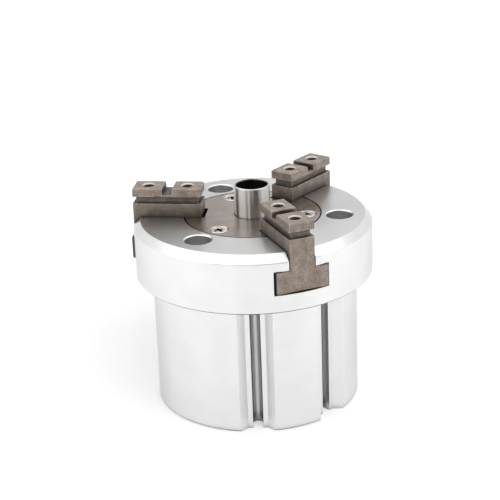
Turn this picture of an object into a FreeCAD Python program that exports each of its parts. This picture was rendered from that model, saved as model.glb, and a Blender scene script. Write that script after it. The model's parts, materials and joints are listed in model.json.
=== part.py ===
import FreeCAD, Part

import os
import re

import Sketcher

# A pneumatic three jaw centric gripper.
# Millimetres, +Z up, origin in the middle of the bottom face.
# One piston pushes a hub with three inclined hooks; each hook draws one jaw
# along its own T-slot, so the jaws always move together.
# The jaws stand at 180, 300 and 60 degrees; what they slide in is cut along -X first.

SIZES = {
    # head
    "head_overhang": 6.8,
    "head_edge_width": 3.0,
    "head_edge_drop": 3.3,
    # body
    "bore_radius": 28.0,
    "seat_step": 1.0,
    "body_wall": 14.2,
    "body_edge": 0.6,
    "guide_height": 12.0,
    "rear_cover_height": 12.0,
    "fit_gap": 0.05,
    "run_gap": 0.25,
    # retaining ring
    "ring_bottom": 1.5,
    "ring_thickness": 2.0,
    "ring_width": 4.8,
    "ring_groove_depth": 1.5,
    "ring_play": 0.1,
    # cover plate
    "plate_land": 2.35,
    "plate_thickness": 5.0,
    "plate_gap": 0.25,
    "plate_edge": 0.25,
    "plate_hole_gap": 0.35,
    # through tube
    "tube_radius": 7.4,
    "tube_wall": 0.7,
    "tube_edge": 0.35,
    "tube_rise": 12.9,
    "tube_flange_width": 2.6,
    "tube_flange_height": 2.0,
    "tube_nut_width": 4.4,
    "tube_nut_height": 4.5,
    # jaws
    "jaw_inner": 20.9,
    "jaw_short": 0.3,
    "jaw_width": 10.7,
    "jaw_rise": 12.2,
    "jaw_edge": 0.35,
    "foot_width": 22.4,
    "foot_height": 9.7,
    "foot_depth": 7.1,
    "slide_gap": 0.3,
    "foot_gap": 0.65,
    "foot_edge": 0.7,
    "slide_play": 0.1,
    "waist_bottom": 5.7,
    "waist_top": 8.6,
    "waist_depth": 1.3,
    "keyway_start": 12.1,
    "keyway_width": 4.0,
    "keyway_depth": 2.7,
    "jaw_thread_radius": 2.1,
    "jaw_thread_depth": 11.0,
    "jaw_thread_inset": 6.2,
    "jaw_thread_mouth": 0.7,
    "plate_slot_margin": 1.3,
    # travel of the jaws
    "travel_in": 1.0,
    "travel_out": 5.0,
    # wedge hooks: a jaw moves wedge_slope for each millimetre of the hub
    "wedge_slope": 1.0,
    "wedge_gap": 0.4,
    "hook_neck": 2.5,
    "hook_head": 2.5,
    "hook_neck_width": 4.0,
    "hook_head_width": 7.4,
    "hook_play": 0.15,
    "hub_rim": 3.6,
    "hub_gap": 0.5,
    "hub_drop": 0.7,
    "hub_floor_gap": 2.0,
    "hook_top_gap": 0.7,
    "arm_width": 9.0,
    # rod
    "rod_bore_gap": 0.5,
    "rod_neck_wall": 1.9,
    "rod_shoulder": 1.2,
    "rod_nut_width": 3.1,
    "rod_nut_height": 4.4,
    "rod_nut_recess": 5.0,
    # piston
    "piston_height": 18.0,
    "piston_socket": 10.5,
    "packing_depth": 3.0,
    "lip_height": 2.4,
    "land_height": 2.0,
    "magnet_height": 3.2,
    "wear_ring_height": 3.0,
    "inner_seal_height": 3.0,
    # end stops
    "bumper_inset": 5.0,
    "bumper_width": 4.0,
    "bumper_height": 2.2,
    "bumper_sunk": 0.6,
    "stop_gap": 0.35,
    # seals and bush in the guide
    "rod_seal_bottom": 2.6,
    "rod_seal_height": 3.4,
    "rod_seal_width": 3.2,
    "bush_height": 5.0,
    "bush_wall": 1.6,
    "cord_radius": 1.0,
    # fixings
    "fixing_inset": 6.9,
    "fixing_hole": 3.3,
    "fixing_head": 5.45,
    "fixing_head_depth": 12.0,
    "fixing_edge": 0.45,
    "screw_radius": 2.0,
    "screw_inset": 6.2,
    "screw_angle": 22.0,
    "screw_head_radius": 3.5,
    "screw_head_height": 4.0,
    "screw_sunk": 4.6,
    "screw_hold": 8.0,
    "screw_gap": 0.15,
    "screw_key": 3.0,
    "screw_key_depth": 2.0,
    "cover_screw_inset": 5.8,
    "cover_screw_head": 3.85,
    "cover_screw_length": 12.0,
    "cross_width": 0.9,
    "cross_span": 4.2,
    "cross_depth": 1.5,
    "pin_radius": 1.5,
    "pin_inset": 5.7,
    "pin_length": 8.0,
    # air ports
    "port_radius": 4.3,
    "port_depth": 8.0,
    "port_flat_radius": 7.0,
    "port_flat_depth": 0.8,
    "port_passage": 1.2,
    # sensor grooves
    "sensor_angle": 23.25,
    "sensor_mouth": 4.05,
    "sensor_land_depth": 3.9,
    "sensor_slot": 2.1,
    "sensor_round_depth": 7.7,
    # ring nuts
    "spanner_slot": 2.5,
    "spanner_depth": 1.5,
}

# levels and radii worked out from the sizes
LEVELS = {
    "seat_radius": "bore_radius + seat_step",
    "body_radius": "seat_radius + body_wall",
    "head_radius": "body_radius + head_overhang",
    "fixing_circle": "body_radius - fixing_inset",
    "screw_circle": "body_radius - screw_inset",
    "pin_circle": "body_radius - pin_inset",
    "plate_radius": "fixing_circle - fixing_head - plate_land",
    "cover_screw_circle": "plate_radius - cover_screw_inset",
    "sensor_land_radius": "body_radius - sensor_land_depth",
    "sensor_round_radius": "body_radius - sensor_round_depth",
    "plate_hole_radius": "tube_radius + plate_hole_gap",
    "tube_flange_radius": "tube_radius + tube_flange_width",
    "tube_nut_radius": "tube_radius + tube_nut_width",
    "rod_bore": "tube_radius + rod_bore_gap",
    "rod_neck_radius": "rod_bore + rod_neck_wall",
    "rod_radius": "rod_neck_radius + rod_shoulder",
    "rod_nut_radius": "rod_neck_radius + rod_nut_width",
    "hub_radius": "rod_nut_radius + hub_gap + hub_rim",
    "bumper_inner": "rod_radius + bumper_inset",
    "bumper_outer": "bumper_inner + bumper_width",
    "chamber_height": "piston_height + stroke_up + stroke_down + 2 * (bumper_out + stop_gap)",
    "body_height": "cover_top + chamber_height + guide_height",
    "head_height": "foot_depth + foot_height + hub_drop + stroke_down + hub_floor_gap",
    "head_top": "body_height + head_height",
    "plate_seat": "head_top - plate_thickness",
    "guide_bottom": "body_height - guide_height",
    "ring_top": "ring_bottom + ring_thickness",
    "cover_bottom": "ring_top + ring_play",
    "cover_top": "cover_bottom + rear_cover_height",
    "jaw_outer": "head_radius - jaw_short",
    "jaw_top": "head_top + jaw_rise",
    "foot_top": "head_top - foot_depth",
    "foot_bottom": "foot_top - foot_height",
    "slot_floor": "foot_bottom - slide_play",
    "wedge_top": "hub_top + stroke_up + hook_top_gap",
    "wedge_rise": "wedge_top - foot_bottom",
    "neck_slot": "jaw_width / 2 + slide_gap",
    "foot_slot": "foot_width / 2 + foot_gap",
    "lean": "sqrt(1 + wedge_slope * wedge_slope)",
    "hub_bottom": "foot_bottom - hub_drop",
    "hub_top": "plate_seat - hub_gap - stroke_up",
    "hub_height": "hub_top - hub_bottom",
    "hub_recess_floor": "hub_top - rod_nut_recess",
    "stroke_up": "travel_in / wedge_slope",
    "stroke_down": "travel_out / wedge_slope",
    "hook_depth": "hook_neck + hook_head",
    "arm_face": "jaw_inner - wedge_gap * lean",
    "hook_reach": "arm_face + (slot_floor + stroke_down - foot_bottom) * wedge_slope",
    "arm_slot_end": "hook_reach + (wedge_gap + hook_depth) * lean + hub_gap",
    "bumper_out": "bumper_height - bumper_sunk",
    "piston_top": "guide_bottom - bumper_out - stop_gap - stroke_up",
    "piston_bottom": "piston_top - piston_height",
    "piston_radius": "bore_radius - run_gap",
    "packing_radius": "piston_radius - packing_depth",
    "socket_floor": "piston_top - piston_socket",
    "tube_bore": "tube_radius - tube_wall",
    "flange_bottom": "cover_top - tube_flange_height",
    "tube_nut_top": "cover_bottom + tube_nut_height + cord_radius",
    "cord_section": "2 * cord_radius",
    "seal_bottom": "guide_bottom + rod_seal_bottom",
    "seal_radius": "rod_radius + run_gap + rod_seal_width",
    "bush_bottom": "body_height - bush_height",
    "bush_radius": "rod_radius + run_gap + bush_wall",
    "front_port": "guide_bottom - port_passage - fit_gap",
    "rear_port": "cover_top + port_passage + fit_gap",
    "thread_hole": "screw_radius + fit_gap",
}

JAW_ANGLES = (180, 300, 60)
PIN_ANGLES = (180, 60)
PORT_ANGLE = 60
SENSOR_CENTRE = 300
OVERRUN = 2

os.makedirs("parts", exist_ok=True)
doc = FreeCAD.newDocument("three_jaw_gripper")
sheet = doc.addObject("Spreadsheet::Sheet", "dims")
for row, (size_name, size) in enumerate(SIZES.items(), start=1):
    sheet.set(f"A{row}", size_name)
    sheet.set(f"B{row}", str(size))
    sheet.setAlias(f"B{row}", size_name)
doc.recompute()

pieces = []


def bound(formula):
    """Spell out a formula: levels are expanded and sizes point at the sheet."""
    def spell(match):
        word = match.group(0)
        if word in LEVELS:
            return f"({bound(LEVELS[word])})"
        if word in SIZES:
            return f"dims.{word}"
        return word
    return re.sub(r"[a-z_]+", spell, str(formula))


def number(formula):
    """The formula's value now, which places a sketch point near its own spot."""
    return float(sheet.evalExpression(bound(formula)))


def origin_item(body, role):
    """One of the body's own origin planes or axes."""
    return next(item for item in body.Origin.OriginFeatures if item.Role == role)


def new_piece(label, turn=0):
    """A body for one physical piece, turned about the gripper's axis."""
    body = doc.addObject("PartDesign::Body", label)
    body.Label = label
    body.Placement.Rotation = FreeCAD.Rotation(FreeCAD.Vector(0, 0, 1), turn)
    pieces.append(body)
    return body


def new_sketch(body, name, role="XY_Plane", shift=("0", "0", "0"), axis=(0, 0, 1), angle="0"):
    """A sketch on an origin plane, shifted and turned in the plane's own axes."""
    sketch = body.newObject("Sketcher::SketchObject", f"{body.Label}_{name}_sketch")
    sketch.AttachmentSupport = [(origin_item(body, role), "")]
    sketch.MapMode = "FlatFace"
    turned = FreeCAD.Rotation(FreeCAD.Vector(*axis), number(angle))
    sketch.AttachmentOffset = FreeCAD.Placement(FreeCAD.Vector(), turned)
    if angle != "0":
        sketch.setExpression("AttachmentOffset.Rotation.Angle", bound(angle))
    for letter, formula in zip("xyz", shift):
        sketch.setExpression(f"AttachmentOffset.Base.{letter}", bound(formula))
    return sketch


def hold(sketch, item, point, x, y):
    """Tie a sketch point to its formulas, or to the axis where one is zero."""
    for kind, axis, formula in (("DistanceX", -2, x), ("DistanceY", -1, y)):
        if formula == "0":
            sketch.addConstraint(Sketcher.Constraint("PointOnObject", item, point, axis))
        else:
            tie = Sketcher.Constraint(kind, -1, 1, item, point, number(formula))
            index = sketch.addConstraint(tie)
            sketch.setExpression(f"Constraints[{index}]", bound(formula))


def outline(sketch, corners):
    """A closed outline with straight sides, each corner held by its formulas."""
    first = sketch.GeometryCount
    count = len(corners)
    spots = [FreeCAD.Vector(number(x), number(y), 0) for x, y in corners]
    for index, spot in enumerate(spots):
        sketch.addGeometry(Part.LineSegment(spot, spots[(index + 1) % count]))
    for index in range(count):
        meet = Sketcher.Constraint("Coincident", first + index, 2, first + (index + 1) % count, 1)
        sketch.addConstraint(meet)
    for index, (x, y) in enumerate(corners):
        hold(sketch, first + index, 1, x, y)


def circle(sketch, x, y, radius):
    """A circle held by formulas for its centre and radius."""
    centre = FreeCAD.Vector(number(x), number(y), 0)
    item = sketch.addGeometry(Part.Circle(centre, FreeCAD.Vector(0, 0, 1), number(radius)))
    hold(sketch, item, 3, x, y)
    index = sketch.addConstraint(Sketcher.Constraint("Radius", item, number(radius)))
    sketch.setExpression(f"Constraints[{index}]", bound(radius))


def rectangle(sketch, left, right, low, high):
    outline(sketch, [(left, low), (right, low), (right, high), (left, high)])


def feature(body, kind, sketch):
    """A solid feature of the body on one sketch."""
    name = sketch.Name.replace("_sketch", "")
    made = body.newObject(f"PartDesign::{kind}", f"{name}_{kind.lower()}")
    made.Profile = sketch
    sketch.Visibility = False
    return made


def finish(body, made, volume_before):
    """Recompute and be sure that the feature added or removed metal."""
    body.Tip = made
    doc.recompute()
    change = abs(made.Shape.Volume - volume_before)
    if change < 1e-6:
        raise RuntimeError(f"{made.Label} changes nothing")
    return made


def volume_of(body):
    return 0.0 if body.Tip is None else body.Tip.Shape.Volume


def pad(body, sketch, length, both_ways=False):
    """Metal on the sketch, upwards, or half to each side of it."""
    before = volume_of(body)
    made = feature(body, "Pad", sketch)
    made.SideType = "Symmetric" if both_ways else "One side"
    made.setExpression("Length", bound(length))
    return finish(body, made, before)


def pocket(body, sketch, length, both_ways=False, upward=False):
    """A cut below the sketch, above it, or half to each side of it."""
    before = volume_of(body)
    made = feature(body, "Pocket", sketch)
    made.SideType = "Symmetric" if both_ways else "One side"
    made.Reversed = upward
    made.setExpression("Length", bound(length))
    return finish(body, made, before)


def turn(body, sketch, kind="Revolution"):
    """A full turn of the sketch about its own upright axis."""
    before = volume_of(body)
    made = feature(body, kind, sketch)
    made.ReferenceAxis = (sketch, ["V_Axis"])
    made.Angle = 360
    return finish(body, made, before)


def around(body, features, count=3):
    """The features again at equal angles about the gripper's axis."""
    before = volume_of(body)
    pattern = body.newObject("PartDesign::PolarPattern", f"{body.Label}_pattern")
    pattern.Originals = features
    pattern.Axis = (origin_item(body, "Z_Axis"), [""])
    pattern.Angle = 360
    pattern.Occurrences = count
    return finish(body, pattern, before)


def bevel(body, name, size, wanted):
    """A chamfer on every edge of the piece so far that the test wants."""
    before = volume_of(body)
    base = body.Tip
    every = enumerate(base.Shape.Edges, start=1)
    edges = [f"Edge{index}" for index, edge in every if wanted(edge)]
    made = body.newObject("PartDesign::Chamfer", f"{body.Label}_{name}_chamfer")
    made.Base = (base, edges)
    made.setExpression("Size", bound(size))
    return finish(body, made, before)


def at_level(formula):
    """A test for edges that lie flat at one height."""
    level = number(formula)
    return lambda edge: all(abs(v.Z - level) < 1e-4 for v in edge.Vertexes)


def round_at_level(formula, radius):
    """A test for round edges of one radius at one height."""
    flat = at_level(formula)
    size = number(radius)

    def wanted(edge):
        return flat(edge) and hasattr(edge.Curve, "Radius") and abs(edge.Curve.Radius - size) < 1e-4
    return wanted


def ring(label, inner, outer, bottom, top):
    """A plain ring of square section about the gripper's axis."""
    body = new_piece(label)
    sketch = new_sketch(body, "section", "XZ_Plane")
    rectangle(sketch, inner, outer, bottom, top)
    turn(body, sketch)
    return body


def cord_ring(label, middle_radius, middle_height):
    """An O-ring, its round cord drawn with eight flats."""
    body = new_piece(label)
    sketch = new_sketch(body, "section", "XZ_Plane")
    flats = [f"{22.5 + 45 * step}" for step in range(8)]
    outline(sketch, [
        (f"{middle_radius} + cord_radius * cos({angle})", f"{middle_height} + cord_radius * sin({angle})")
        for angle in flats
    ])
    turn(body, sketch)


def spanner_slots(body, radius, top):
    """Four slots across the rim of a ring nut, for a hook spanner."""
    sketch = new_sketch(body, "spanner", "XY_Plane", ("0", "0", top))
    rectangle(sketch, f"{radius} - spanner_depth", f"{radius} + {OVERRUN}",
              "-spanner_slot / 2", "spanner_slot / 2")
    slot = pocket(body, sketch, "spanner_depth")
    around(body, [slot], 4)


def make_jaw_housing():
    """The head: a turned disc, then T-slots milled out from the middle."""
    body = new_piece("jaw_housing")
    profile = new_sketch(body, "profile", "XZ_Plane")
    outline(profile, [
        ("hub_radius + hub_gap", "body_height"),
        ("head_radius - body_edge", "body_height"),
        ("head_radius", "body_height + body_edge"),
        ("head_radius", "head_top - head_edge_drop"),
        ("head_radius - head_edge_width", "head_top"),
        ("plate_radius + plate_gap", "head_top"),
        ("plate_radius + plate_gap", "plate_seat"),
        ("hub_radius + hub_gap", "plate_seat"),
    ])
    turn(body, profile)

    tee = new_sketch(body, "tee_slot", "YZ_Plane")
    outline(tee, [
        ("-foot_slot", "slot_floor"),
        ("foot_slot", "slot_floor"),
        ("foot_slot", "foot_top + slide_play"),
        ("neck_slot", "foot_top + slide_play"),
        ("neck_slot", f"head_top + {OVERRUN}"),
        ("-neck_slot", f"head_top + {OVERRUN}"),
        ("-neck_slot", "foot_top + slide_play"),
        ("-foot_slot", "foot_top + slide_play"),
    ])
    tee_slot = pocket(body, tee, f"head_radius + {OVERRUN}")

    arms = new_sketch(body, "arm_slot", "XY_Plane", ("0", "0", "body_height"))
    rectangle(arms, "-arm_slot_end", "0", "-(arm_width / 2 + hub_gap)", "arm_width / 2 + hub_gap")
    arm_slot = pocket(body, arms, "slot_floor - body_height + slide_play", upward=True)

    head = new_sketch(body, "fixing_head", "XY_Plane", ("0", "0", "head_top"))
    circle(head, "fixing_circle", "0", "fixing_head")
    fixing_head = pocket(body, head, "fixing_head_depth")
    shank = new_sketch(body, "fixing_hole", "XY_Plane", ("0", "0", "head_top"))
    circle(shank, "fixing_circle", "0", "fixing_hole")
    fixing_hole = pocket(body, shank, f"head_height + {OVERRUN}")

    thread = new_sketch(body, "cover_thread", "XY_Plane", ("0", "0", "plate_seat"))
    circle(thread, "cover_screw_circle", "0", "thread_hole")
    cover_thread = pocket(body, thread, "cover_screw_length - plate_thickness + slide_play")

    cuts = [tee_slot, arm_slot, fixing_head, fixing_hole, cover_thread]
    for side, sign in (("left", ""), ("right", "-")):
        spot = new_sketch(body, f"screw_{side}", "XY_Plane", ("0", "0", "body_height"))
        across = f"{sign}screw_circle * sin(screw_angle)"
        circle(spot, "screw_circle * cos(screw_angle)", across, "thread_hole")
        cuts.append(pocket(body, spot, "screw_hold + slide_play", upward=True))
    around(body, cuts)

    pins = new_sketch(body, "pins", "XY_Plane", ("0", "0", "body_height"))
    draw_pins(pins, "pin_radius + fit_gap")
    pocket(body, pins, "pin_length / 2 + slide_play", upward=True)
    bevel(body, "fixing", "fixing_edge", round_at_level("head_top", "fixing_head"))


def draw_pins(sketch, radius):
    """Two pins, under the first and the last jaw."""
    for angle in PIN_ANGLES:
        circle(sketch, f"pin_circle * cos({angle})", f"pin_circle * sin({angle})", radius)


def make_cylinder_body():
    """The lower body: a stepped bore, sensor grooves, screw holes and air ports."""
    body = new_piece("cylinder_body")
    profile = new_sketch(body, "profile", "XZ_Plane")
    outline(profile, [
        ("seat_radius", "0"),
        ("body_radius - body_edge", "0"),
        ("body_radius", "body_edge"),
        ("body_radius", "body_height"),
        ("seat_radius", "body_height"),
        ("seat_radius", "guide_bottom"),
        ("bore_radius", "guide_bottom"),
        ("bore_radius", "cover_top"),
        ("seat_radius", "cover_top"),
        ("seat_radius", "ring_top + fit_gap"),
        ("seat_radius + ring_groove_depth", "ring_top + fit_gap"),
        ("seat_radius + ring_groove_depth", "ring_bottom - fit_gap"),
        ("seat_radius", "ring_bottom - fit_gap"),
    ])
    turn(body, profile)

    for side, sign in (("left", "-"), ("right", "+")):
        angle = f"{SENSOR_CENTRE} {sign} sensor_angle"
        mouth = new_sketch(body, f"sensor_mouth_{side}", angle=angle)
        wide = f"sensor_mouth + body_radius + {OVERRUN} - sensor_land_radius"
        outline(mouth, [
            ("sensor_round_radius", "-sensor_slot"),
            ("sensor_land_radius", "-sensor_slot"),
            ("sensor_land_radius", "-sensor_mouth"),
            (f"body_radius + {OVERRUN}", f"-({wide})"),
            (f"body_radius + {OVERRUN}", wide),
            ("sensor_land_radius", "sensor_mouth"),
            ("sensor_land_radius", "sensor_slot"),
            ("sensor_round_radius", "sensor_slot"),
        ])
        pocket(body, mouth, f"body_height + {OVERRUN}", upward=True)
        bottom = new_sketch(body, f"sensor_bottom_{side}", angle=angle)
        circle(bottom, "sensor_round_radius", "0", "sensor_slot")
        pocket(body, bottom, f"body_height + {OVERRUN}", upward=True)

    hole = new_sketch(body, "fixing_hole")
    circle(hole, "fixing_circle", "0", "fixing_hole")
    cuts = [pocket(body, hole, f"body_height + {OVERRUN}", upward=True)]
    for side, sign in (("left", ""), ("right", "-")):
        across = f"{sign}screw_circle * sin(screw_angle)"
        shank = new_sketch(body, f"screw_{side}")
        circle(shank, "screw_circle * cos(screw_angle)", across, "screw_radius + screw_gap")
        cuts.append(pocket(body, shank, f"body_height + {OVERRUN}", upward=True))
        head = new_sketch(body, f"screw_head_{side}")
        circle(head, "screw_circle * cos(screw_angle)", across, "screw_head_radius + screw_gap")
        cuts.append(pocket(body, head, "screw_sunk", upward=True))
    around(body, cuts)

    pins = new_sketch(body, "pins", "XY_Plane", ("0", "0", "body_height"))
    draw_pins(pins, "pin_radius + fit_gap")
    pocket(body, pins, "pin_length / 2 + slide_play")

    for place, height in (("front", "front_port"), ("rear", "rear_port")):
        steps = (
            ("flat", "body_radius - port_flat_depth", "port_flat_radius"),
            ("thread", "body_radius - port_depth", "port_radius"),
            ("passage", f"bore_radius - {OVERRUN}", "port_passage"),
        )
        for step, depth, radius in steps:
            outward = (f"({depth}) * sin({PORT_ANGLE})", "0", f"({depth}) * cos({PORT_ANGLE})")
            face = new_sketch(
                body, f"{place}_port_{step}", "YZ_Plane", outward, (0, 1, 0), str(PORT_ANGLE))
            circle(face, "0", height, radius)
            pocket(body, face, f"body_radius + {OVERRUN} - ({depth})", upward=True)


def make_cover_plate():
    """The steel plate: three open jaw slots and a sealed hole for the tube."""
    body = new_piece("cover_plate")
    profile = new_sketch(body, "profile", "XZ_Plane")
    seal_low = "head_top - plate_thickness / 2 - cord_radius"
    seal_high = "head_top - plate_thickness / 2 + cord_radius"
    seal_wall = "tube_radius + run_gap + cord_section"
    outline(profile, [
        ("plate_hole_radius", "plate_seat"),
        ("plate_radius", "plate_seat"),
        ("plate_radius", "head_top - plate_edge"),
        ("plate_radius - plate_edge", "head_top"),
        ("plate_hole_radius", "head_top"),
        ("plate_hole_radius", seal_high),
        (seal_wall, seal_high),
        (seal_wall, seal_low),
        ("plate_hole_radius", seal_low),
    ])
    turn(body, profile)
    slot = new_sketch(body, "jaw_slot", "XY_Plane", ("0", "0", "head_top"))
    rectangle(slot, f"-(plate_radius + {OVERRUN})", "-(jaw_inner - plate_slot_margin)",
              "-neck_slot", "neck_slot")
    jaw_slot = pocket(body, slot, f"plate_thickness + {OVERRUN}")
    hole = new_sketch(body, "screw_hole", "XY_Plane", ("0", "0", "head_top"))
    circle(hole, "cover_screw_circle", "0", "screw_radius + screw_gap")
    screw_hole = pocket(body, hole, f"plate_thickness + {OVERRUN}")
    sink = new_sketch(body, "screw_sink", "XZ_Plane", ("cover_screw_circle", "0", "0"))
    outline(sink, [
        ("0", "head_top - cover_screw_head - screw_gap"),
        ("cover_screw_head + screw_gap", "head_top"),
        ("0", "head_top"),
    ])
    screw_sink = turn(body, sink, "Groove")
    around(body, [jaw_slot, screw_hole, screw_sink])


def make_cover_screws():
    """Three countersunk screws with a cross recess, flush with the plate."""
    body = new_piece("cover_screws")
    profile = new_sketch(body, "profile", "XZ_Plane", ("cover_screw_circle", "0", "0"))
    outline(profile, [
        ("0", "head_top - cover_screw_length"),
        ("screw_radius", "head_top - cover_screw_length"),
        ("screw_radius", "head_top - cover_screw_head + screw_radius"),
        ("cover_screw_head", "head_top"),
        ("0", "head_top"),
    ])
    screw = turn(body, profile)
    cross = []
    arms = (("long", "cross_span", "cross_width"), ("wide", "cross_width", "cross_span"))
    for name, along, across in arms:
        arm = new_sketch(body, f"cross_{name}", "XY_Plane", ("cover_screw_circle", "0", "head_top"))
        rectangle(arm, f"-{along} / 2", f"{along} / 2", f"-{across} / 2", f"{across} / 2")
        cross.append(pocket(body, arm, "cross_depth"))
    around(body, [screw] + cross)


def make_housing_screws():
    """Six long socket screws that hold the head on the body from below."""
    body = new_piece("housing_screws")
    made = []
    for side, sign in (("left", ""), ("right", "-")):
        along = "screw_circle * cos(screw_angle)"
        across = f"{sign}screw_circle * sin(screw_angle)"
        profile = new_sketch(body, f"profile_{side}", "XZ_Plane", (along, "0", f"-({across})"))
        outline(profile, [
            ("0", "screw_sunk - screw_head_height"),
            ("screw_head_radius", "screw_sunk - screw_head_height"),
            ("screw_head_radius", "screw_sunk"),
            ("screw_radius", "screw_sunk"),
            ("screw_radius", "body_height + screw_hold"),
            ("0", "body_height + screw_hold"),
        ])
        made.append(turn(body, profile))
        low = "screw_sunk - screw_head_height"
        socket = new_sketch(body, f"socket_{side}", "XY_Plane", (along, across, low))
        corner = "screw_key / sqrt(3)"
        outline(socket, [
            (corner, "0"),
            (f"{corner} / 2", "screw_key / 2"),
            (f"-{corner} / 2", "screw_key / 2"),
            (f"-{corner}", "0"),
            (f"-{corner} / 2", "-screw_key / 2"),
            (f"{corner} / 2", "-screw_key / 2"),
        ])
        made.append(pocket(body, socket, "screw_key_depth", upward=True))
    around(body, made)


def make_dowel_pins():
    body = new_piece("dowel_pins")
    sketch = new_sketch(body, "section", "XY_Plane", ("0", "0", "body_height"))
    draw_pins(sketch, "pin_radius")
    pad(body, sketch, "pin_length", both_ways=True)


def make_through_tube():
    """The thin tube through the whole gripper, with its flange on the rear cover."""
    body = new_piece("through_tube")
    profile = new_sketch(body, "profile", "XZ_Plane")
    outline(profile, [
        ("tube_bore", "cover_bottom"),
        ("tube_radius", "cover_bottom"),
        ("tube_radius", "flange_bottom"),
        ("tube_flange_radius", "flange_bottom"),
        ("tube_flange_radius", "cover_top"),
        ("tube_radius", "cover_top"),
        ("tube_radius", "head_top + tube_rise - tube_edge"),
        ("tube_radius - tube_edge", "head_top + tube_rise"),
        ("tube_bore", "head_top + tube_rise"),
    ])
    turn(body, profile)


def make_tube_nut():
    body = ring("tube_nut", "tube_radius + fit_gap", "tube_nut_radius",
                "cover_bottom + cord_radius", "tube_nut_top")
    spanner_slots(body, "tube_nut_radius", "cover_bottom + cord_radius + spanner_depth")


def make_rear_cover():
    """The lower end cover, with seats for the tube, its nut and the end stop."""
    body = new_piece("rear_cover")
    profile = new_sketch(body, "profile", "XZ_Plane")
    outer = "seat_radius - fit_gap"
    seal_low = "(cover_bottom + cover_top) / 2 - cord_radius"
    seal_high = "(cover_bottom + cover_top) / 2 + cord_radius"
    cord_seat = "flange_bottom - cord_section"
    outline(profile, [
        ("tube_radius + fit_gap", "tube_nut_top"),
        ("tube_nut_radius + slide_gap", "tube_nut_top"),
        ("tube_nut_radius + slide_gap", "cover_bottom"),
        (outer, "cover_bottom"),
        (outer, seal_low),
        (f"{outer} - cord_section", seal_low),
        (f"{outer} - cord_section", seal_high),
        (outer, seal_high),
        (outer, "cover_top"),
        ("bumper_outer + fit_gap", "cover_top"),
        ("bumper_outer + fit_gap", "cover_top - bumper_sunk"),
        ("bumper_inner - fit_gap", "cover_top - bumper_sunk"),
        ("bumper_inner - fit_gap", "cover_top"),
        ("tube_flange_radius + fit_gap", "cover_top"),
        ("tube_flange_radius + fit_gap", "flange_bottom"),
        ("tube_radius + cord_section", "flange_bottom"),
        ("tube_radius + cord_section", cord_seat),
        ("tube_radius + fit_gap", cord_seat),
    ])
    turn(body, profile)


def make_rod_guide():
    """The wall between piston and hub, with the rod's seal and bush."""
    body = new_piece("rod_guide")
    profile = new_sketch(body, "profile", "XZ_Plane")
    outer = "seat_radius - fit_gap"
    seal_low = "(guide_bottom + body_height) / 2 - cord_radius"
    seal_high = "(guide_bottom + body_height) / 2 + cord_radius"
    hole = "rod_radius + hub_gap"
    outline(profile, [
        (hole, "guide_bottom"),
        ("bumper_inner - fit_gap", "guide_bottom"),
        ("bumper_inner - fit_gap", "guide_bottom + bumper_sunk"),
        ("bumper_outer + fit_gap", "guide_bottom + bumper_sunk"),
        ("bumper_outer + fit_gap", "guide_bottom"),
        (outer, "guide_bottom"),
        (outer, seal_low),
        (f"{outer} - cord_section", seal_low),
        (f"{outer} - cord_section", seal_high),
        (outer, seal_high),
        (outer, "body_height"),
        ("bush_radius", "body_height"),
        ("bush_radius", "bush_bottom"),
        (hole, "bush_bottom"),
        (hole, "seal_bottom + rod_seal_height"),
        ("seal_radius", "seal_bottom + rod_seal_height"),
        ("seal_radius", "seal_bottom"),
        (hole, "seal_bottom"),
    ])
    turn(body, profile)


def make_piston():
    """The piston: a grooved disc with a blind socket for the hollow rod."""
    body = new_piece("piston")
    rim = "piston_radius"
    floor = "packing_radius"
    profile = new_sketch(body, "profile", "XZ_Plane")
    corners = [
        ("rod_bore", "piston_bottom"),
        (rim, "piston_bottom"),
    ]
    for low, high in piston_grooves():
        corners += [(rim, low), (floor, low), (floor, high), (rim, high)]
    inner_low = "piston_bottom + land_height"
    inner_high = "piston_bottom + land_height + inner_seal_height"
    corners += [
        (rim, "piston_top"),
        ("rod_radius + fit_gap", "piston_top"),
        ("rod_radius + fit_gap", "socket_floor"),
        ("rod_bore", "socket_floor"),
        ("rod_bore", inner_high),
        ("rod_bore + packing_depth", inner_high),
        ("rod_bore + packing_depth", inner_low),
        ("rod_bore", inner_low),
    ]
    outline(profile, corners)
    turn(body, profile)


def piston_grooves():
    """The heights of the grooves in the piston's rim, from the bottom up."""
    grooves = []
    low = "piston_bottom + land_height"
    for height in ("lip_height", "wear_ring_height", "magnet_height", "lip_height"):
        grooves.append((low, f"{low} + {height}"))
        low = f"{low} + {height} + land_height / 2"
    return grooves


def packing(label, groove, outer):
    """A ring that sits in one of the piston's grooves."""
    low, high = groove
    ring(label, "packing_radius + fit_gap", outer, f"{low} + fit_gap", f"{high} - fit_gap")


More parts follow.
